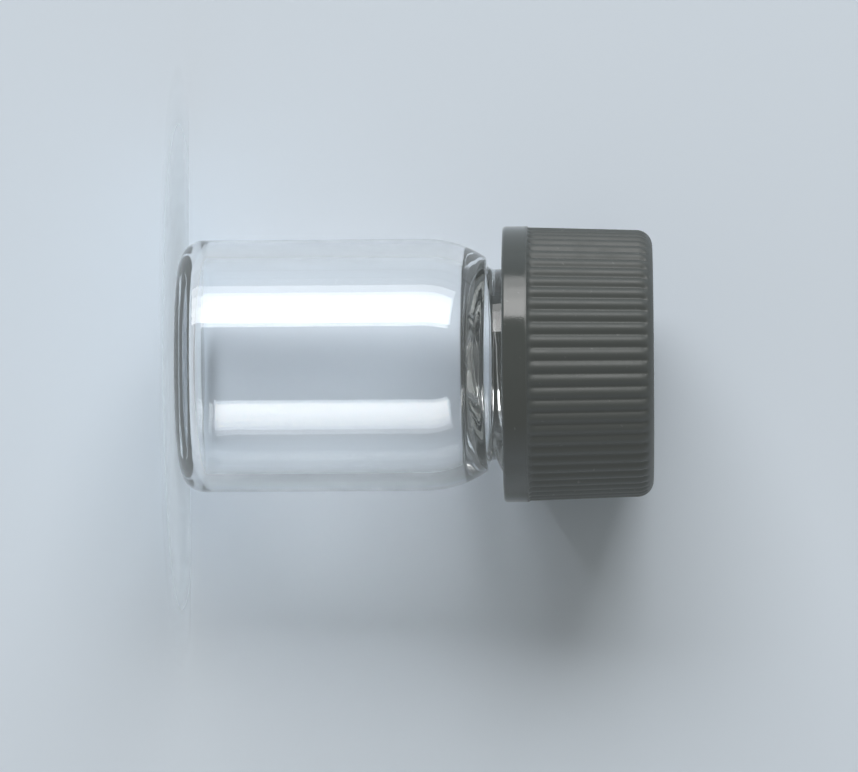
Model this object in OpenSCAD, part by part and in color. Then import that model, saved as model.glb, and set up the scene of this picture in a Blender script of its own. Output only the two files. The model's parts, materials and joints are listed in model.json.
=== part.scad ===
// Glass sample vial with a ribbed screw cap, standing on its base.
// Millimetres. Z = 0 is the plane the base stands on, +Z runs up the axis to the cap.

/* [Glass tube] */
// Outer diameter of the tube
tube_d = 14.95; // [14:0.05:22]
// Wall thickness of the tube
glass_wall = 1.07; // [0.8:0.01:1.4]
// Thickness of the glass floor over the foot ring
floor_t = 1.05; // [0.6:0.05:1.6]
// Outer rounding between the base and the wall
heel_r = 1.45; // [0.6:0.05:2]
// Rounding of the floor into the wall inside
floor_fillet_r = 0.7; // [0.4:0.05:2]
// Height at which the wall starts to curve in to the shoulder
shoulder_z = 14.5; // [10:0.1:50]
// Radius of the shoulder's curve
shoulder_r = 6.5; // [3:0.1:7]
// Rounding of the shoulder's upper edge
shoulder_edge_r = 0.3; // [0.2:0.05:0.8]
// Width of the flat on top of the shoulder, round the foot of the neck
shoulder_land = 0.05; // [0.05:0.05:0.6]
// Thickness of the glass between the chamber and the foot of the neck
shoulder_t = 1.4; // [1.2:0.02:2]
// Rounding inside, where the wall meets the top of the chamber
chamber_edge_r = 0.45; // [0.3:0.05:0.8]
// Width of the flat ring that the vial stands on
foot_w = 1.5; // [0.6:0.1:2.5]
// Rise of the shallow dish inside the foot ring
dish_h = 0.2; // [0.1:0.05:0.4]

/* [Neck finish] */
// Diameter of the bare neck between the thread turns
neck_d = 11.3; // [11:0.05:12]
// Diameter over the crest of the glass thread
thread_d = 13; // [12.6:0.05:13.4]
// Diameter of the mouth
bore_d = 8.3; // [6:0.1:9.2]
// Height of the neck, from the shoulder to the rim
neck_h = 7.54; // [7.3:0.01:10]
// Rounding at the foot of the neck
neck_fillet_r = 0.45; // [0.15:0.05:0.5]
// Height at which the bore starts to open out, above the foot of the neck
flare_lift = 1; // [0.6:0.1:1.4]
// Tilt of the cone in which the bore meets the top of the chamber, in degrees
cone_tilt = 50; // [45:1:56]
// Rounding of the rim
rim_r = 0.35; // [0.15:0.05:0.4]

/* [Thread] */
// Rise of the thread in one turn
pitch = 2.117; // [1.9:0.001:2.3]
// Turns of thread on the neck
neck_turns = 2.6; // [1.2:0.1:2.6]
// Height at which the neck thread starts, above the foot of the neck
thread_lift = 0.89; // [0.8:0.01:1.2]
// Angle about the axis at which the neck thread starts
thread_start = -42; // [-180:1:180]
// Axial width of the neck thread at its root
neck_thread_w = 1.15; // [0.8:0.05:1.2]
// Turns of thread inside the cap
cap_turns = 1.5; // [1:0.1:1.6]
// Axial width of the cap thread at its root
cap_thread_w = 0.85; // [0.6:0.05:0.9]

/* [Cap] */
// Thickness of the cap's wall in the smooth band at its open end
cap_wall_t = 1.52; // [1.2:0.02:2.4]
// Height of the smooth band
band_h = 1.5; // [0.8:0.1:2.5]
// Height of the cap
cap_h = 8.85; // [8:0.05:9.2]
// Thickness of the closed end
cap_top_t = 1.05; // [0.8:0.05:1.6]
// Step from the band in to the ribs
band_step = 0.065; // [0.02:0.005:0.15]
// Number of grip ribs
rib_count = 65; // [24:1:72]
// Angle about the axis of the first rib
rib_start = 2.6; // [-15:0.1:15]
// Height of a rib above the wall between the ribs
rib_h = 0.2; // [0.1:0.01:0.3]
// How far a rib runs on over the closed end's rounded edge
rib_end = 0.15; // [0:0.05:0.3]
// Length of a rib's blunt tip
rib_tip = 0.2; // [0.1:0.05:0.3]
// Radius of a rib's rounded crest
rib_r = 0.31; // [0.25:0.01:0.32]
// Inward lean of the ribbed wall, in degrees
draft = 1.6; // [0.5:0.1:2]
// Rounding of the closed end's edge
cap_edge_r = 0.95; // [0.5:0.05:1.2]
// Rounding of the open end's edges
lip_r = 0.2; // [0.05:0.05:0.3]

/* [Liner] */
// Thickness of the foam liner
liner_t = 1.2; // [0.8:0.05:1.6]

/* [Fits] */
// Radial clearance between the neck thread's crest and the cap's bore
crest_gap = 0.15; // [0.1:0.01:0.25]
// Radial clearance between the cap thread's crest and the neck
root_gap = 0.22; // [0.15:0.01:0.3]
// Radial clearance between the liner and the cap's bore
liner_gap = 0.2; // [0.1:0.01:0.3]

/* [Hidden] */
$fn = 96;

tube_r = tube_d / 2;
inner_r = tube_r - glass_wall;
neck_r = neck_d / 2;
bore_r = bore_d / 2;
thread_r = thread_d / 2;

// The shoulder curves in until its rounded edge just leaves room for the flat
// and the fillet at the foot of the neck.
shoulder_c = tube_r - shoulder_r;
neck_foot_r = neck_r + neck_fillet_r + shoulder_land;
shoulder_turn = acos((neck_foot_r - shoulder_c) / (shoulder_r - shoulder_edge_r));
shoulder_edge_z = shoulder_z + (shoulder_r - shoulder_edge_r) * sin(shoulder_turn);
neck_z = shoulder_edge_z + shoulder_edge_r;

// Inside, the wall keeps its thickness along the curve up to the chamber's top.
chamber_z = neck_z - shoulder_t;
chamber_curve_r = shoulder_r - glass_wall;
chamber_edge_z = chamber_z - chamber_edge_r;
chamber_turn = asin((chamber_edge_z - shoulder_z) / (chamber_curve_r - chamber_edge_r));
chamber_edge_c = shoulder_c + (chamber_curve_r - chamber_edge_r) * cos(chamber_turn);

// The bore opens out on a curve that runs into the cone, and the cone into the
// chamber's rounded edge.
flare_z = neck_z + flare_lift;
flare_r = ((flare_z - chamber_edge_z) * sin(cone_tilt) - (chamber_edge_c - bore_r) * cos(cone_tilt)
    - chamber_edge_r) / (1 - cos(cone_tilt));

foot_r = tube_r - heel_r;
dish_r = foot_r - foot_w;
rim_z = neck_z + neck_h;
thread_z = neck_z + thread_lift;

// The cap stands on the liner, and the liner on the rim.
liner_z = rim_z;
cap_roof_z = liner_z + liner_t;
cap_top_z = cap_roof_z + cap_top_t;
cap_open_z = cap_top_z - cap_h;
band_top_z = cap_open_z + band_h;
cap_bore_r = thread_r + crest_gap;
cap_crest_r = neck_r + root_gap;
band_r = cap_bore_r + cap_wall_t;
rib_crest_r = band_r - band_step;
rib_top_r = rib_crest_r - (cap_top_z - band_top_z) * tan(draft);

// How far a thread's root is sunk into the wall that carries it, how many
// sections it has in a turn, and over how many turns each end fades out.
thread_sink = 0.25;
turn_steps = 30;
fade_turns = 0.16;

// Points of an arc about c, from angle a0 to a1.
function arc(c, r, a0, a1, steps = 10) =
    [for (i = [0 : steps])
        let (a = a0 + (a1 - a0) * i / steps)
        c + r * [cos(a), sin(a)]];

function reverse(v) = [for (i = [len(v) - 1 : -1 : 0]) v[i]];

// Share of the thread's full height at turn t of a thread n turns long.
function fade(t, n) = sin(90 * min(1, t / fade_turns, (n - t) / fade_turns));

// Section of a thread as [radius, height] pairs. It stands out of root_r
// towards crest_r, which may lie outside or inside it.
function thread_section(root_r, crest_r, w, f) =
    let (
        dir = crest_r > root_r ? 1 : -1,
        foot = root_r - dir * thread_sink,
        h = (crest_r - foot) * (0.15 + 0.85 * f),
        half = w / 2 * (0.5 + 0.5 * f)
    )
    [
        [foot, -half],
        [foot + 0.55 * h, -0.86 * half],
        [foot + 0.9 * h, -0.6 * half],
        [foot + h, -0.25 * half],
        [foot + h, 0.25 * half],
        [foot + 0.9 * h, 0.6 * half],
        [foot + 0.55 * h, 0.86 * half],
        [foot, half]
    ];

// A right-hand thread ridge of n turns, whose middle starts at height z0 and angle a0.
module thread(root_r, crest_r, w, z0, a0, n) {
    rings = ceil(n * turn_steps);
    sides = 8;
    points = [
        for (i = [0 : rings])
            let (t = n * i / rings, a = a0 + 360 * t)
            for (p = thread_section(root_r, crest_r, w, fade(t, n)))
                [p[0] * cos(a), p[0] * sin(a), z0 + pitch * t + p[1]]
    ];
    skin = [
        for (i = [0 : rings - 1], j = [0 : sides - 1])
            let (
                k = (j + 1) % sides,
                a = i * sides + j,
                b = i * sides + k,
                c = a + sides,
                d = b + sides
            )
            each [[a, b, c], [b, d, c]]
    ];
    first = [for (j = [sides - 1 : -1 : 0]) j];
    last = [for (j = [0 : sides - 1]) rings * sides + j];
    faces = concat(skin, [first], [last]);
    // A ridge that points inwards has its section mirrored, so its faces turn round.
    polyhedron(points, crest_r > root_r ? faces : [for (f = faces) reverse(f)]);
}

// Half section of the glass without its thread, from the middle of the base
// up the outside, over the rim and down the inside.
function glass_outline() = concat(
    [[0, dish_h], [dish_r - dish_h, dish_h], [dish_r, 0]],
    arc([foot_r, heel_r], heel_r, -90, 0),
    arc([shoulder_c, shoulder_z], shoulder_r, 0, shoulder_turn),
    arc([neck_foot_r, shoulder_edge_z], shoulder_edge_r, shoulder_turn, 90, 6),
    arc([neck_r, neck_z] + [neck_fillet_r, neck_fillet_r], neck_fillet_r, 270, 180, 6),
    arc([neck_r, rim_z] - [rim_r, rim_r], rim_r, 0, 90, 6),
    arc([bore_r, rim_z] + [rim_r, -rim_r], rim_r, 90, 180, 6),
    arc([bore_r + flare_r, flare_z], flare_r, 180, 180 + cone_tilt),
    arc([chamber_edge_c, chamber_edge_z], chamber_edge_r, cone_tilt, chamber_turn, 6),
    arc([shoulder_c, shoulder_z], chamber_curve_r, chamber_turn, 0),
    arc([inner_r, floor_t] + [-floor_fillet_r, floor_fillet_r], floor_fillet_r, 0, -90),
    [[0, floor_t]]
);

module glass_vial() {
    color([0.86, 0.9, 0.92, 0.4]) {
        rotate_extrude() polygon(glass_outline());
        thread(neck_r, thread_r, neck_thread_w, thread_z, thread_start, neck_turns);
    }
}

module cap_liner() {
    color([0.93, 0.93, 0.9])
        translate([0, 0, liner_z])
            cylinder(r = cap_bore_r - liner_gap, h = liner_t);
}

// Half section of the cap without its ribs: the band at the open end, the
// leaning wall, and the closed end with its rounded edge.
function cap_outline() =
    let (
        wall_low = rib_crest_r - rib_h,
        wall_high = rib_top_r - rib_h,
        edge = cap_edge_r - rib_h
    )
    concat(
        [[0, cap_open_z]],
        arc([band_r - lip_r, cap_open_z + lip_r], lip_r, -90, 0, 5),
        [[band_r, band_top_z - band_step], [rib_crest_r, band_top_z], [wall_low, band_top_z]],
        arc([wall_high - edge, cap_top_z - edge], edge, 0, 90),
        [[0, cap_top_z]]
    );

// One grip rib: a round bar that leans in with the wall, from inside the
// band to a blunt tip on the closed end's rounded edge.
module rib() {
    start = -band_h / 3;
    length = (cap_top_z - cap_edge_r - band_top_z - start) / cos(draft) + rib_end;
    translate([rib_crest_r - rib_r, 0, band_top_z])
        rotate([0, -draft, 0])
            translate([0, 0, start]) {
                cylinder(r = rib_r, h = length, $fn = 24);
                translate([0, 0, length]) cylinder(r1 = rib_r, r2 = rib_r / 2, h = rib_tip, $fn = 24);
            }
}

module ribs() {
    for (i = [0 : rib_count - 1])
        rotate(rib_start + 360 / rib_count * i) rib();
}

module cap_cavity() {
    chamfer = lip_r;
    rotate_extrude()
        polygon([
            [0, cap_open_z - 1],
            [cap_bore_r + chamfer, cap_open_z - 1],
            [cap_bore_r + chamfer, cap_open_z],
            [cap_bore_r, cap_open_z + chamfer],
            [cap_bore_r, cap_roof_z],
            [0, cap_roof_z]
        ]);
}

// The cap's ridge runs half a pitch below the neck's, so the two never meet.
module cap_thread() {
    first_turn = 0.9;
    thread(
        cap_bore_r, cap_crest_r, cap_thread_w,
        thread_z + pitch * (first_turn - 0.5),
        thread_start + 360 * first_turn, cap_turns
    );
}

module screw_cap() {
    color([0.3, 0.33, 0.33]) {
        difference() {
            union() {
                rotate_extrude() polygon(cap_outline());
                ribs();
            }
            cap_cavity();
        }
        cap_thread();
    }
}

glass_vial();
cap_liner();
screw_cap();
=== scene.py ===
"""Glass sample vial: a clear moulded vial with a ribbed screw cap and its foam liner.

Laid out as an add-on. Each piece and the stage is made by its own operator,
and every size and colour a user would change is a property of the scene.
"""

import json
import math

import bmesh
import bpy
from bpy.props import FloatProperty, FloatVectorProperty, IntProperty, PointerProperty
from mathutils import Matrix, Vector, noise


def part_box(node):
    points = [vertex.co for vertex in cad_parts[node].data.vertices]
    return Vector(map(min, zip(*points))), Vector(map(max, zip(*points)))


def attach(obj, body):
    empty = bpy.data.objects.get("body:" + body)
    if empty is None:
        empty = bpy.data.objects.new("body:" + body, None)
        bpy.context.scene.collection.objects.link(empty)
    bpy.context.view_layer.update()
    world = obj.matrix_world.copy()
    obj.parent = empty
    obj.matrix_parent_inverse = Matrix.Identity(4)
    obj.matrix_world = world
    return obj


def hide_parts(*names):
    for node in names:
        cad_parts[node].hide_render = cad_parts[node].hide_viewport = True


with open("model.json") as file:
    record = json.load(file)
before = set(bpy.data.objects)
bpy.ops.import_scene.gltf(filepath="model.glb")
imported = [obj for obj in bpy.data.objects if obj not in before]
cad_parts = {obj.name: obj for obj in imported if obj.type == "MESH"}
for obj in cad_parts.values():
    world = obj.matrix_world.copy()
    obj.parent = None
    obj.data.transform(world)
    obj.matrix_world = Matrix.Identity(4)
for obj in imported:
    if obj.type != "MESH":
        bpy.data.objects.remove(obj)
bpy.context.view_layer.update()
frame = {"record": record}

bl_info = {
    "name": "Sample Vial",
    "version": (1, 0, 0),
    "blender": (4, 5, 0),
    "location": "3D View > Sidebar > Vial",
    "description": "Makes a glass sample vial with a ribbed screw cap on a pale stage",
    "category": "Object",
}

MM = 0.001
MOUNTS = {mount["name"]: mount for mount in frame["record"]["mounts"]}
TUBE_R = MOUNTS["tube_wall"]["dims"]["r_mm"] * MM
MOUTH_R = MOUNTS["mouth"]["dims"]["r_mm"] * MM
LINER_LOW, LINER_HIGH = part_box("cap_liner")
CAP_LOW, CAP_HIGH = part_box("screw_cap")
RIM_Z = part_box("glass_vial")[1].z
CAP_R = CAP_HIGH.x

# Each pane's two edges, in degrees round the vial from the camera's side, and its share of light.
WINDOW_PANES = ((37.0, 53.5, 1.0), (53.5, 64.0, 0.8), (64.0, 75.3, 0.5))
WINDOW_HALF_HEIGHT = math.radians(26.6)  # half the window's height, as seen from the vial
CAMERA_PLACE = Vector((15.8, -343.9, 24.7)) * MM
CAMERA_TARGET = Vector((1.26, 0.0, 14.73)) * MM
CAMERA_ROLL = math.radians(89.6)
CAMERA_LENS = 243.7
# Each sheet is solid out to SOLID and clear at its edge, or from CLEAR on.
BACKDROP_RADIUS, BACKDROP_SOLID = 0.2, 0.12
BACKDROP_GAP = 0.02 * MM  # how far the backdrop stays off the tube
CAP_TOUCH = 0.7 * MM  # height over the cap's open end at which the backdrop passes the band
FLOOR_RADIUS, FLOOR_CLEAR, FLOOR_SOLID = 0.03, 0.018, 0.0085
FLOOR_GLOW = 0.4  # share of the floor that looks evenly lit
FLOOR_GAIN, FLOOR_LIMIT = 1.3, 0.97  # the floor's colour is the paper's, this much lighter
PAINTED_GLOW_DEPTH = 3.5  # reflections inside the glass after which a ray shows the painted glow
MESH_GAP = 1e-6  # how near a vertex lies to a wall's radius to be on that wall
RIB_STEPS = 10  # mesh steps round the cap for each rib
CAP_THREAD_LEAD = 0.9  # turns of the neck's thread that lie below the start of the cap's


# ---------------------------------------------------------------- sizes and colours

def length(name, value, description):
    """A length in metres with the editor's distance unit."""
    return FloatProperty(
        name=name, default=value, min=0.0, precision=5, unit="LENGTH", description=description
    )


def colour(name, value, description):
    """A plain colour."""
    return FloatVectorProperty(
        name=name, default=value, size=3, min=0.0, max=1.0, subtype="COLOR", description=description
    )


class GlassSizes(bpy.types.PropertyGroup):
    """Sizes of the one-piece glass vial."""

    wall: length("Wall", 1.07 * MM, "Thickness of the tube's wall")
    floor: length("Floor", 1.05 * MM, "Thickness of the floor over the foot ring")
    heel: length("Heel", 1.45 * MM, "Outer rounding between the base and the wall")
    floor_fillet: length("Floor fillet", 0.7 * MM, "Rounding of the floor into the wall inside")
    foot: length("Foot ring", 1.5 * MM, "Width of the flat ring that the vial stands on")
    dish: length("Dish", 0.2 * MM, "Rise of the dish inside the foot ring")
    shoulder: length("Shoulder radius", 6.5 * MM, "Radius of the shoulder's curve")
    shoulder_edge: length("Shoulder edge", 0.3 * MM, "Rounding of the shoulder's upper edge")
    land: length("Shoulder flat", 0.05 * MM, "Width of the flat round the foot of the neck")
    ring: length("Ring", 1.4 * MM, "Thickness of the glass between the chamber and the neck's foot")
    chamber_edge: length("Chamber edge", 0.45 * MM, "Rounding between the wall and the chamber's top")
    flare_lift: length("Flare", 1.0 * MM, "Height over the shoulder where the bore starts to open out")
    cone: FloatProperty(
        name="Cone", default=math.radians(50), subtype="ANGLE",
        description="Tilt of the cone in which the bore meets the chamber's top",
    )
    lumps: length("Rolls", 0.012 * MM, "Unevenness of the ring's inside, where the neck was formed")
    neck: length("Neck radius", 5.65 * MM, "Radius of the bare neck")
    neck_height: length("Neck height", 7.54 * MM, "Height of the neck from the shoulder to the rim")
    neck_fillet: length("Neck fillet", 0.45 * MM, "Rounding at the foot of the neck")
    rim_round: length("Rim rounding", 0.35 * MM, "Rounding of the rim")
    thread: length("Thread radius", 6.5 * MM, "Radius over the crest of the thread")
    thread_width: length("Thread width", 1.15 * MM, "Axial width of the thread at its root")
    thread_lift: length("Thread lift", 0.89 * MM, "Height of the thread's start over the shoulder")
    thread_turns: FloatProperty(name="Thread turns", default=2.6, description="Turns of thread")
    thread_angle: FloatProperty(
        name="Thread start", default=math.radians(-42), subtype="ANGLE",
        description="Angle about the axis at which the thread starts",
    )
    pitch: length("Pitch", 2.117 * MM, "Rise of the thread in one turn")
    # Colour of a painted glow that the glass gives off where a ray has been reflected inside it many
    # times.
    painted_glass_glow: colour("Stray light", (0.065, 0.072, 0.074), "Tone of light caught inside the glass")


class CapSizes(bpy.types.PropertyGroup):
    """Sizes of the screw cap and its liner."""

    band_height: length("Band height", 1.5 * MM, "Height of the smooth band at the open end")
    band_step: length("Band step", 0.065 * MM, "Step from the band in to the rib crests")
    top: length("Closed end", 1.05 * MM, "Thickness of the closed end")
    edge: length("Edge rounding", 0.95 * MM, "Rounding of the closed end's edge")
    lip: length("Lip rounding", 0.2 * MM, "Rounding of the open end's edges")
    bore: length("Bore radius", 6.65 * MM, "Radius of the bore between the thread turns")
    thread: length("Thread radius", 5.87 * MM, "Radius inside the crest of the cap's thread")
    thread_width: length("Thread width", 0.85 * MM, "Axial width of the cap's thread at its root")
    thread_turns: FloatProperty(name="Thread turns", default=1.5, description="Turns of thread")
    rib_depth: length("Rib depth", 0.2 * MM, "Depth of the valleys between the ribs")
    draft: FloatProperty(
        name="Draft", default=math.radians(1.6), subtype="ANGLE",
        description="Inward lean of the ribbed wall",
    )
    ribs: IntProperty(name="Ribs", default=65, min=24, max=72, description="Number of grip ribs")
    rib_angle: FloatProperty(
        name="Rib start", default=math.radians(2.6), subtype="ANGLE",
        description="Angle about the axis of the first rib's crest",
    )
    plastic: colour("Plastic", (0.022, 0.026, 0.024), "Colour of the moulded cap")
    # Colour of a painted glow, a flat emission that lifts the cap's darkest tones.
    painted_cap_glow: colour("Haze", (0.037, 0.040, 0.039), "Pale haze over the cap's darkest tones")
    foam: colour("Foam", (0.80, 0.80, 0.76), "Colour of the liner")


class StageSettings(bpy.types.PropertyGroup):
    """Backdrop, light and camera."""

    paper: colour("Paper", (0.65, 0.715, 0.79), "Colour of the floor and the backdrop")
    lit: colour("Lit paper", (0.56, 0.62, 0.69), "How the paper looks in this light")
    room: colour("Room", (0.25, 0.243, 0.215), "Light from the room in front of the stage")
    refracted: colour("Refracted room", (0.30, 0.30, 0.30), "The room in front as seen through glass")
    window: FloatProperty(
        name="Window", default=6.8, min=0.0, description="Radiance of the window's brightest pane"
    )
    distance: length("Distance", 1.1, "Distance of the window from the vial")


# ---------------------------------------------------------------- outlines and meshes

def arc(centre, radius, start, end, steps):
    """Points of an arc about (r, z), from one angle to another in degrees."""
    points = []
    for i in range(steps + 1):
        angle = math.radians(start + (end - start) * i / steps)
        points.append((centre[0] + radius * math.cos(angle), centre[1] + radius * math.sin(angle)))
    return points


def line(start, end, steps):
    """Points between two ends, without the ends."""
    return [
        (start[0] + (end[0] - start[0]) * i / steps, start[1] + (end[1] - start[1]) * i / steps)
        for i in range(1, steps)
    ]


def spun(outline, steps):
    """A closed mesh from an outline of (r, z) points turned about the Z axis."""
    bm = bmesh.new()
    verts = [bm.verts.new((r, 0.0, z)) for r, z in outline]
    edges = [bm.edges.new(pair) for pair in zip(verts, verts[1:])]
    if outline[0][0] > 0 or outline[-1][0] > 0:
        edges.append(bm.edges.new((verts[-1], verts[0])))
    bmesh.ops.spin(
        bm, geom=verts + edges, axis=(0, 0, 1), cent=(0, 0, 0),
        angle=math.tau, steps=steps, use_merge=True,
    )
    bmesh.ops.remove_doubles(bm, verts=bm.verts, dist=1e-7)
    bmesh.ops.recalc_face_normals(bm, faces=bm.faces)
    return bm


def finish_piece(bm, name, material, body, node):
    """Turns the mesh into a smooth-shaded piece that stands for a CAD node."""
    mesh = bpy.data.meshes.new(name)
    bm.to_mesh(mesh)
    bm.free()
    for polygon in mesh.polygons:
        polygon.use_smooth = True
    mesh.materials.append(material)
    piece = bpy.data.objects.new(name, mesh)
    bpy.context.scene.collection.objects.link(piece)
    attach(piece, body)
    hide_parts(node)
    return piece


def smooth_step(value, low, high):
    """0 below low, 1 above high, and a smooth rise between them."""
    t = min(1.0, max(0.0, (value - low) / (high - low)))
    return t * t * (3 - 2 * t)


def ridge(angle, z, start_angle, start_z, pitch, turns, width):
    """Height share, from 0 to 1, of a right-hand thread ridge at this place on a wall."""
    first = ((angle - start_angle) % math.tau) / math.tau
    turn = first + round((z - start_z) / pitch - first)
    if not 0 <= turn <= turns:
        return 0.0
    off = abs(z - start_z - pitch * turn) / (width / 2)
    if off >= 1:
        return 0.0
    fade = smooth_step(min(turn, turns - turn), 0.0, 0.14)
    return fade * min(1.0, 1.25 * math.cos(off * math.pi / 2) ** 0.8)


# ---------------------------------------------------------------- shader maths

class Value:
    """A number socket that takes part in Python arithmetic by adding Math nodes."""

    def __init__(self, nodes, socket):
        self.nodes = nodes
        self.socket = socket

    def _math(self, operation, first, second):
        return self.nodes.make("ShaderNodeMath", {"operation": operation}, {0: first, 1: second})

    def __add__(self, other):
        return self._math("ADD", self, other)

    def __mul__(self, other):
        return self._math("MULTIPLY", self, other)

    def __gt__(self, other):
        return self._math("GREATER_THAN", self, other)


class Nodes:
    """The node tree of one material, light or world."""

    def __init__(self, owner):
        owner.use_nodes = True
        self.tree = owner.node_tree
        self.tree.nodes.clear()

    def make(self, kind, settings=None, inputs=None, output=0):
        """Adds a node, sets it up, feeds its inputs and returns one of its outputs."""
        node = self.tree.nodes.new(kind)
        for name, value in (settings or {}).items():
            setattr(node, name, value)
        for name, value in (inputs or {}).items():
            if isinstance(value, Value):
                self.tree.links.new(value.socket, node.inputs[name])
            else:
                node.inputs[name].default_value = value
        if not node.outputs:
            return None
        return Value(self, node.outputs[output])

    def blend(self, factor, first, second):
        """Mixes two colours."""
        return self.make(
            "ShaderNodeMix", {"data_type": "RGBA"}, {"Factor": factor, 6: first, 7: second}, output=2
        )

    def noise(self, vector, scale, detail=2.0, roughness=0.5):
        """A noise pattern on a vector, from 0 to 1."""
        return self.make(
            "ShaderNodeTexNoise", {},
            {"Vector": vector, "Scale": scale, "Detail": detail, "Roughness": roughness},
        )

    def spread(self, value, low, high, to_low=0.0, to_high=1.0):
        """Maps low..high on to another range and clamps it there."""
        return self.make(
            "ShaderNodeMapRange", {},
            {0: value, 1: low, 2: high, 3: to_low, 4: to_high},
        )


def opaque(rgb):
    """A colour with full alpha."""
    return (*rgb, 1.0)


def glass_material(painted_glass_glow_colour):
    """Clear moulded glass, with a painted glow where a ray has been reflected inside it many times."""
    material = bpy.data.materials.new("vial_glass")
    nodes = Nodes(material)
    place = nodes.make("ShaderNodeTexCoord", output="Object")
    waves = nodes.noise(place, 120.0, 2.0)
    specks = nodes.spread(nodes.noise(place, 900.0, 1.0), 0.72, 0.80)
    bump = nodes.make("ShaderNodeBump", {}, {"Strength": 0.05, "Distance": 0.00005, "Height": waves})
    # Painted glow: the glass gives off a flat colour where a ray has been reflected inside it more
    # than the set number of times.
    painted_glow_mask = nodes.make("ShaderNodeLightPath", output="Glossy Depth") > PAINTED_GLOW_DEPTH
    painted_glass_glow = nodes.blend(painted_glow_mask, (0.0, 0.0, 0.0, 1.0), opaque(painted_glass_glow_colour))
    shader = nodes.make(
        "ShaderNodeBsdfPrincipled", {},
        {
            "Base Color": (0.985, 0.995, 1.0, 1.0),
            "Roughness": specks * 0.05,
            "IOR": 1.52,
            "Transmission Weight": 1.0,
            "Emission Color": painted_glass_glow,
            "Emission Strength": 1.0,
            "Normal": bump,
        },
    )
    nodes.make("ShaderNodeOutputMaterial", {}, {"Surface": shader})
    return material


def plastic_material(rgb, painted_cap_glow, polish):
    """Dark moulded plastic with a painted glow that lifts its darkest tones: satin ribs and, below
    polish, a glossy band.
    """
    material = bpy.data.materials.new("cap_plastic")
    nodes = Nodes(material)
    place = nodes.make("ShaderNodeTexCoord", output="Object")
    height = nodes.make("ShaderNodeSeparateXYZ", {}, {0: place}, output=2)
    mottle = nodes.noise(place, 700.0, 4.0, 0.6)
    wear = nodes.spread(mottle, 0.4, 0.8, 0.0, 0.12)
    grain = nodes.noise(place, 9000.0, 2.0)
    dust = nodes.spread(nodes.noise(place, 2600.0, 2.0), 0.70, 0.78)
    base = nodes.blend(mottle, opaque([c * 0.85 for c in rgb]), opaque([c * 1.15 for c in rgb]))
    tone = nodes.blend(dust * 0.35, base, (0.15, 0.16, 0.16, 1.0))
    gloss = nodes.spread(height, polish - 0.2 * MM, polish + 0.1 * MM, 0.1, 0.5)
    bump = nodes.make("ShaderNodeBump", {}, {"Strength": 0.25, "Distance": 0.00001, "Height": grain})
    shader = nodes.make(
        "ShaderNodeBsdfPrincipled", {},
        {
            "Base Color": tone,
            "Roughness": gloss + wear,
            "IOR": 1.5,
            # Painted glow: a flat emission that lifts the plastic's darkest tones.
            "Emission Color": opaque(painted_cap_glow),
            "Emission Strength": 1.0,
            "Normal": bump,
        },
    )
    nodes.make("ShaderNodeOutputMaterial", {}, {"Surface": shader})
    return material


def foam_material(rgb):
    """White closed-cell foam with a fine pebbled skin."""
    material = bpy.data.materials.new("liner_foam")
    nodes = Nodes(material)
    place = nodes.make("ShaderNodeTexCoord", output="Object")
    cells = nodes.make(
        "ShaderNodeTexVoronoi", {"feature": "F1"}, {"Vector": place, "Scale": 4200.0}
    )
    tint = nodes.blend(
        nodes.noise(place, 900.0, 3.0), opaque([c * 0.93 for c in rgb]), opaque(rgb)
    )
    bump = nodes.make("ShaderNodeBump", {}, {"Strength": 0.4, "Distance": 0.00003, "Height": cells})
    shader = nodes.make(
        "ShaderNodeBsdfPrincipled", {},
        {"Base Color": tint, "Roughness": nodes.spread(cells, 0.0, 1.0, 0.7, 0.9), "Normal": bump},
    )
    nodes.make("ShaderNodeOutputMaterial", {}, {"Surface": shader})
    return material


# ---------------------------------------------------------------- the glass

def thread_start(s):
    """Height at which the neck's thread starts."""
    return RIM_Z - s.neck_height + s.thread_lift


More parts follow.
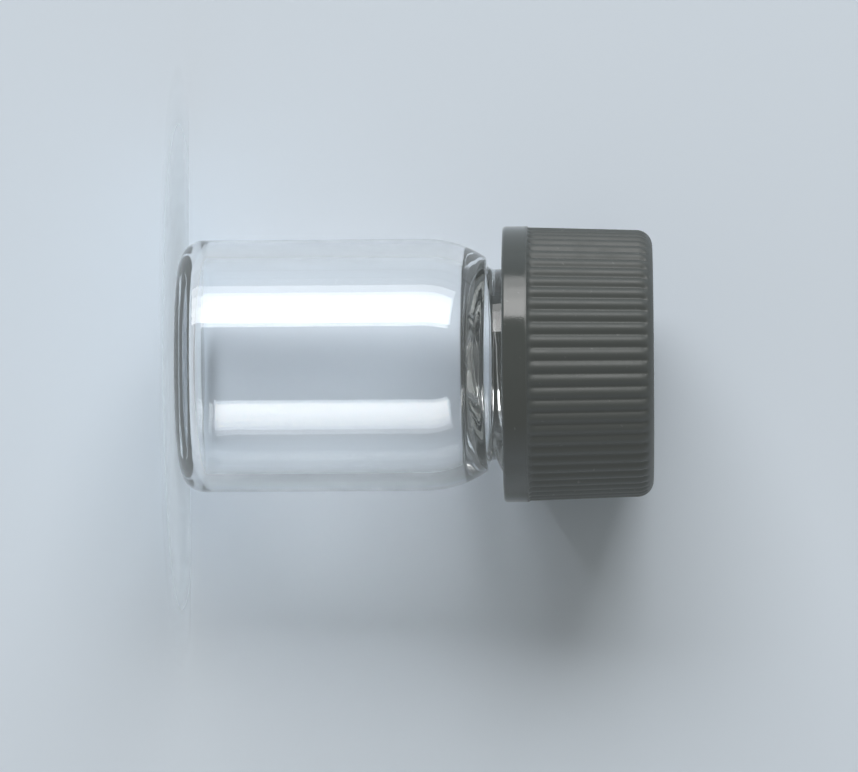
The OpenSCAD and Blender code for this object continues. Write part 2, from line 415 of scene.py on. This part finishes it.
def glass_outline(s):
    """Outline of the glass from the middle of the base, up the outside, over the rim and down."""
    foot_r = TUBE_R - s.heel
    dish_r = foot_r - s.foot
    inner_r = TUBE_R - s.wall
    curve_r = TUBE_R - s.shoulder
    neck_z = RIM_Z - s.neck_height
    neck_foot = s.neck + s.neck_fillet + s.land
    turn = math.degrees(math.acos((neck_foot - curve_r) / (s.shoulder - s.shoulder_edge)))
    edge_z = neck_z - s.shoulder_edge
    shoulder_z = edge_z - (s.shoulder - s.shoulder_edge) * math.sin(math.radians(turn))
    inner_curve = s.shoulder - s.wall
    corner_z = neck_z - s.ring - s.chamber_edge
    inner_turn = math.degrees(math.asin((corner_z - shoulder_z) / (inner_curve - s.chamber_edge)))
    corner_r = curve_r + (inner_curve - s.chamber_edge) * math.cos(math.radians(inner_turn))
    cone = math.degrees(s.cone)
    across, up = math.cos(s.cone), math.sin(s.cone)
    cone_foot = (corner_r + s.chamber_edge * across, corner_z + s.chamber_edge * up)
    flare_z = neck_z + s.flare_lift
    rise, reach = flare_z - corner_z, corner_r - MOUTH_R
    flare_r = (rise * up - reach * across - s.chamber_edge) / (1 - across)
    dish_radius = dish_r * dish_r / (2 * s.dish)

    outline = [(0.0, s.dish)]
    outline += [
        (r, s.dish - r * r / (2 * dish_radius)) for r in [dish_r * i / 16 for i in range(1, 16)]
    ]
    outline += [(dish_r, 0.0)]
    outline += line((dish_r, 0.0), (foot_r, 0.0), 6)
    outline += arc((foot_r, s.heel), s.heel, -90, 0, 24)
    outline += line((TUBE_R, s.heel), (TUBE_R, shoulder_z), 12)
    outline += arc((curve_r, shoulder_z), s.shoulder, 0, turn, 30)
    outline += arc((neck_foot, edge_z), s.shoulder_edge, turn, 90, 12)[1:]
    outline += arc((neck_foot - s.land, neck_z + s.neck_fillet), s.neck_fillet, 270, 180, 8)
    outline += line(outline[-1], (s.neck, RIM_Z - s.rim_round), 110)
    outline += arc((s.neck - s.rim_round, RIM_Z - s.rim_round), s.rim_round, 0, 90, 8)
    outline += arc((MOUTH_R + s.rim_round, RIM_Z - s.rim_round), s.rim_round, 90, 180, 8)
    outline += line(outline[-1], (MOUTH_R, flare_z), 24)
    outline += arc((MOUTH_R + flare_r, flare_z), flare_r, 180, 180 + cone, 30)
    outline += line(outline[-1], cone_foot, 12)
    outline += arc((corner_r, corner_z), s.chamber_edge, cone, inner_turn, 12)
    outline += arc((curve_r, shoulder_z), inner_curve, inner_turn, 0, 14)[1:]
    outline += line((inner_r, shoulder_z), (inner_r, s.floor + s.floor_fillet), 12)
    floor_r = inner_r - s.floor_fillet
    outline += arc((floor_r, s.floor + s.floor_fillet), s.floor_fillet, 0, -90, 20)
    outline += line((floor_r, s.floor), (0.0, s.floor), 8)
    outline += [(0.0, s.floor)]
    return outline


def raise_thread(bm, s):
    """Raises the thread out of the bare neck's own surface."""
    for vert in bm.verts:
        x, y, z = vert.co
        r = math.hypot(x, y)
        if abs(r - s.neck) > MESH_GAP:
            continue
        share = ridge(
            math.atan2(y, x), z,
            s.thread_angle, thread_start(s), s.pitch, s.thread_turns, s.thread_width,
        )
        grow = 1 + share * (s.thread - s.neck) / r
        vert.co = (x * grow, y * grow, z)


def rough_ring(bm, s):
    """Gives the inside of the ring below the neck the rolls that the forming tools left in it."""
    neck_z = RIM_Z - s.neck_height
    low, high = neck_z - s.ring - s.chamber_edge, neck_z + s.flare_lift
    for vert in bm.verts:
        x, y, z = vert.co
        r = math.hypot(x, y)
        if not low < z < high or r > TUBE_R - s.wall - s.land:
            continue
        if z > neck_z - s.shoulder_edge and r > (MOUTH_R + s.neck) / 2:
            continue
        share = smooth_step(z, low, low + s.chamber_edge) * (1 - smooth_step(z, neck_z, high))
        along = Vector((x / r, y / r, 0.0)) * 2.0
        roll = noise.fractal(along + Vector((3.1, 7.7, (z - r / 2) * 900)), 1.0, 2.0, 2)
        vert.co += vert.normal * (s.lumps * share * roll)


def make_glass(s):
    """The vial's mesh, with its thread raised from the neck."""
    bm = spun(glass_outline(s), 192)
    bm.normal_update()
    rough_ring(bm, s)
    raise_thread(bm, s)
    bmesh.ops.recalc_face_normals(bm, faces=bm.faces)
    return bm


class VIAL_OT_glass(bpy.types.Operator):
    """Make the one-piece glass vial"""

    bl_idname = "vial.glass"
    bl_label = "Glass vial"

    def execute(self, context):
        bm = make_glass(context.scene.vial_glass)
        glass = glass_material(context.scene.vial_glass.painted_glass_glow)
        finish_piece(bm, "vial_glass", glass, "vial", "glass_vial")
        return {"FINISHED"}


# ---------------------------------------------------------------- the liner

def liner_outline(radius, neck):
    """Outline of the foam disc, pressed in a little where the rim bears on it."""
    edge = 0.15 * MM
    press = 0.05 * MM
    groove = 0.55 * MM
    low, high = LINER_LOW.z, LINER_HIGH.z
    rim_mid = (MOUTH_R + neck) / 2
    outline = [(0.0, low)]
    outline += [(rim_mid - groove - 0.2 * MM, low), (rim_mid - groove, low + press)]
    outline += [(rim_mid + groove, low + press), (rim_mid + groove + 0.17 * MM, low)]
    outline += arc((radius - edge, low + edge), edge, -90, 0, 6)
    outline += arc((radius - edge, high - edge), edge, 0, 90, 6)
    outline += [(0.0, high)]
    return outline


class VIAL_OT_liner(bpy.types.Operator):
    """Make the foam liner inside the cap"""

    bl_idname = "vial.liner"
    bl_label = "Cap liner"

    def execute(self, context):
        bm = spun(liner_outline(LINER_HIGH.x, context.scene.vial_glass.neck), 128)
        foam = foam_material(context.scene.vial_cap.foam)
        finish_piece(bm, "liner_disc", foam, "liner", "cap_liner")
        return {"FINISHED"}


# ---------------------------------------------------------------- the cap

def cap_outline(s):
    """Outline of the cap over its rib crests, closed round its wall and its closed end."""
    low, high = CAP_LOW.z, CAP_HIGH.z
    band_z = low + s.band_height
    crest = CAP_R - s.band_step
    crest_high = crest - (high - band_z) * math.tan(s.draft)
    roof = high - s.top
    outline = arc((CAP_R - s.lip, low + s.lip), s.lip, -90, 0, 6)
    outline += line(outline[-1], (CAP_R, band_z - s.band_step), 4)
    outline += arc((CAP_R - s.band_step, band_z - s.band_step), s.band_step, 0, 90, 4)
    outline += line((crest, band_z), (crest_high, high - s.edge), 26)
    outline += arc((crest_high - s.edge, high - s.edge), s.edge, 0, 90, 16)
    outline += line((crest_high - s.edge, high), (0.0, high), 10)
    outline += [(0.0, high), (0.0, roof)]
    outline += line((0.0, roof), (s.bore, roof), 6)
    outline += [(s.bore, roof)]
    outline += line((s.bore, roof), (s.bore, low + s.lip), 44)
    outline += arc((s.bore + s.lip, low + s.lip), s.lip, 180, 270, 5)
    return outline


def rib_share(s, z):
    """How much of the full rib depth there is at this height on the cap's outside."""
    band_z = CAP_LOW.z + s.band_height
    start = smooth_step(z, band_z + 0.01 * MM, band_z + 0.16 * MM)
    end = smooth_step(z, CAP_HIGH.z - s.edge * 0.62, CAP_HIGH.z - s.edge * 0.28)
    return start * (1 - end)


def make_cap(s, glass):
    """The cap's mesh, with ribs pressed into its outside and a thread raised in its bore."""
    bm = spun(cap_outline(s), s.ribs * RIB_STEPS)
    thread_z = thread_start(glass) + glass.pitch * (CAP_THREAD_LEAD - 0.5)
    thread_angle = glass.thread_angle + math.tau * CAP_THREAD_LEAD
    band_z = CAP_LOW.z + s.band_height
    outside = s.bore + 0.3 * MM
    for vert in bm.verts:
        x, y, z = vert.co
        r = math.hypot(x, y)
        if r < MESH_GAP:
            continue
        angle = math.atan2(y, x)
        change = 0.0
        if r > outside and z > band_z:
            wave = abs(math.cos((angle - s.rib_angle) * s.ribs / 2))
            change = -s.rib_depth * (1 - wave ** 0.9) * rib_share(s, z)
        elif abs(r - s.bore) < MESH_GAP:
            share = ridge(
                angle, z, thread_angle, thread_z, glass.pitch, s.thread_turns, s.thread_width
            )
            change = -share * (s.bore - s.thread)
        grow = (r + change) / r
        vert.co = (x * grow, y * grow, z)
    bmesh.ops.recalc_face_normals(bm, faces=bm.faces)
    return bm


class VIAL_OT_cap(bpy.types.Operator):
    """Make the ribbed screw cap"""

    bl_idname = "vial.cap"
    bl_label = "Screw cap"

    def execute(self, context):
        sizes = context.scene.vial_cap
        bm = make_cap(sizes, context.scene.vial_glass)
        plastic = plastic_material(sizes.plastic, sizes.painted_cap_glow, CAP_LOW.z + sizes.band_height)
        finish_piece(bm, "ribbed_cap", plastic, "cap", "screw_cap")
        return {"FINISHED"}


# ---------------------------------------------------------------- the stage

def ground_material(name, paper, lit, fade, glow, one_sided):
    """Pale ground that fades away at its edge; glow is how much of it looks evenly lit."""
    material = bpy.data.materials.new(name)
    nodes = Nodes(material)
    place = nodes.make("ShaderNodeTexCoord", output="Object")
    reach = nodes.make("ShaderNodeVectorMath", {"operation": "LENGTH"}, {0: place}, output=1)
    clear = nodes.spread(reach, *fade)
    if one_sided:
        behind = nodes.make("ShaderNodeNewGeometry", output="Backfacing")
        clear = nodes.make("ShaderNodeMath", {"operation": "MAXIMUM"}, {0: clear, 1: behind})
    seen = nodes.make("ShaderNodeLightPath", output="Is Camera Ray")
    matt = nodes.make("ShaderNodeBsdfDiffuse", {}, {"Color": opaque(paper)})
    even = nodes.make("ShaderNodeEmission", {}, {"Color": opaque(lit)})
    ground = nodes.make("ShaderNodeMixShader", {}, {0: seen * glow, 1: matt, 2: even})
    open_air = nodes.make("ShaderNodeBsdfTransparent")
    shader = nodes.make("ShaderNodeMixShader", {}, {0: clear, 1: ground, 2: open_air})
    nodes.make("ShaderNodeOutputMaterial", {}, {"Surface": shader})
    return material


def make_ground(name, radius, matrix, material):
    """A round sheet of ground, facing +Z before it is placed."""
    bm = bmesh.new()
    bmesh.ops.create_circle(bm, cap_ends=True, segments=96, radius=radius)
    mesh = bpy.data.meshes.new(name)
    bm.to_mesh(mesh)
    bm.free()
    mesh.materials.append(material)
    ground = bpy.data.objects.new(name, mesh)
    ground.matrix_world = matrix
    bpy.context.scene.collection.objects.link(ground)
    return ground


def aim(location, target, roll):
    """A matrix at location that looks at target along its -Z, turned about that line by roll."""
    look = (target - location).to_track_quat("-Z", "Y").to_matrix().to_4x4()
    return Matrix.Translation(location) @ look @ Matrix.Rotation(roll, 4, "Z")


def make_world(lit, room, refracted):
    """The room in front and the pale ground going on behind, as each kind of ray meets them."""
    world = bpy.data.worlds.new("room")
    bpy.context.scene.world = world
    nodes = Nodes(world)
    look = nodes.make("ShaderNodeTexCoord", output="Generated")
    depth = nodes.make("ShaderNodeSeparateXYZ", {}, {0: look}, output=1)
    shade = nodes.blend(nodes.spread(depth, -0.6, -0.05), opaque(room), opaque(lit))
    through = nodes.blend(nodes.spread(depth, -0.15, 0.15), opaque(refracted), opaque(lit))
    ray = nodes.make("ShaderNodeLightPath", output="Is Transmission Ray")
    shade = nodes.blend(ray, shade, through)
    ray = nodes.make("ShaderNodeLightPath", output="Is Camera Ray")
    shade = nodes.blend(ray, shade, opaque(lit))
    light = nodes.make("ShaderNodeBackground", {}, {"Color": shade, "Strength": 1.0})
    nodes.make("ShaderNodeOutputWorld", {}, {"Surface": light})


def make_window(radiance, distance):
    """The large window that lights the vial from one side, in three panes side by side."""
    centre = Vector((0.0, 0.0, 14 * MM))
    tall = 2 * distance * math.tan(WINDOW_HALF_HEIGHT)
    for number, (near, far, share) in enumerate(WINDOW_PANES):
        wide = 2 * distance * math.tan(math.radians(far - near) / 2)
        turn = math.radians((near + far) / 2)
        place = centre + distance * Vector((-math.sin(turn), -math.cos(turn), 0.0))
        light = bpy.data.lights.new(f"pane_{number}", "AREA")
        light.shape = "RECTANGLE"
        light.size = tall
        light.size_y = wide
        light.energy = radiance * share * wide * tall * math.pi
        pane = bpy.data.objects.new(f"pane_{number}", light)
        pane.matrix_world = aim(place, centre, math.radians(90))
        pane.visible_camera = False
        bpy.context.scene.collection.objects.link(pane)


def make_camera():
    """A long lens square to the vial's side, with the axis running across the picture."""
    data = bpy.data.cameras.new("camera")
    data.sensor_width = 36.0
    data.lens = CAMERA_LENS
    data.clip_start = 0.01
    data.clip_end = 10.0
    camera = bpy.data.objects.new("camera", data)
    camera.matrix_world = aim(CAMERA_PLACE, CAMERA_TARGET, CAMERA_ROLL)
    bpy.context.scene.collection.objects.link(camera)
    bpy.context.scene.camera = camera


class VIAL_OT_stage(bpy.types.Operator):
    """Make the floor, backdrop, light and camera"""

    bl_idname = "vial.stage"
    bl_label = "Stage"

    def execute(self, context):
        scene = context.scene
        s = scene.vial_stage
        scene.view_settings.view_transform = "Standard"
        scene.cycles.blur_glossy = 0.0
        make_camera()
        make_world(s.lit, s.room, s.refracted)
        make_window(s.window, s.distance)
        lean = math.atan2(CAP_R - TUBE_R, CAP_LOW.z + CAP_TOUCH)
        back = Matrix.Translation((0.0, TUBE_R + BACKDROP_GAP, 0.0))
        back = back @ Matrix.Rotation(math.radians(90) - lean, 4, "X")
        fade = (BACKDROP_SOLID, BACKDROP_RADIUS)
        backdrop = ground_material("backdrop", s.paper, s.lit, fade, 0.0, True)
        make_ground("backdrop", BACKDROP_RADIUS, back, backdrop)
        bright = [min(FLOOR_LIMIT, c * FLOOR_GAIN) for c in s.paper]
        fade = (FLOOR_SOLID, FLOOR_CLEAR)
        ground = ground_material("floor", bright, s.lit, fade, FLOOR_GLOW, False)
        floor = make_ground("floor", FLOOR_RADIUS, Matrix.Identity(4), ground)
        floor.visible_shadow = False
        floor.visible_transmission = False
        floor.visible_glossy = False
        return {"FINISHED"}


# ---------------------------------------------------------------- panel and run

class VIAL_PT_panel(bpy.types.Panel):
    """Buttons for the stage and each piece."""

    bl_idname = "VIAL_PT_panel"
    bl_label = "Sample vial"
    bl_space_type = "VIEW_3D"
    bl_region_type = "UI"
    bl_category = "Vial"

    def draw(self, context):
        for operator in OPERATORS:
            self.layout.operator(operator.bl_idname)
        for group in (context.scene.vial_glass, context.scene.vial_cap, context.scene.vial_stage):
            box = self.layout.box()
            for name in group.__annotations__:
                box.prop(group, name)


OPERATORS = (VIAL_OT_stage, VIAL_OT_glass, VIAL_OT_liner, VIAL_OT_cap)
CLASSES = (GlassSizes, CapSizes, StageSettings, *OPERATORS, VIAL_PT_panel)


def register():
    for cls in CLASSES:
        bpy.utils.register_class(cls)
    bpy.types.Scene.vial_glass = PointerProperty(type=GlassSizes)
    bpy.types.Scene.vial_cap = PointerProperty(type=CapSizes)
    bpy.types.Scene.vial_stage = PointerProperty(type=StageSettings)


def unregister():
    del bpy.types.Scene.vial_stage
    del bpy.types.Scene.vial_cap
    del bpy.types.Scene.vial_glass
    for cls in reversed(CLASSES):
        bpy.utils.unregister_class(cls)


def main():
    register()
    bpy.ops.vial.stage()
    bpy.ops.vial.glass()
    bpy.ops.vial.liner()
    bpy.ops.vial.cap()


if __name__ == "__main__":
    main()
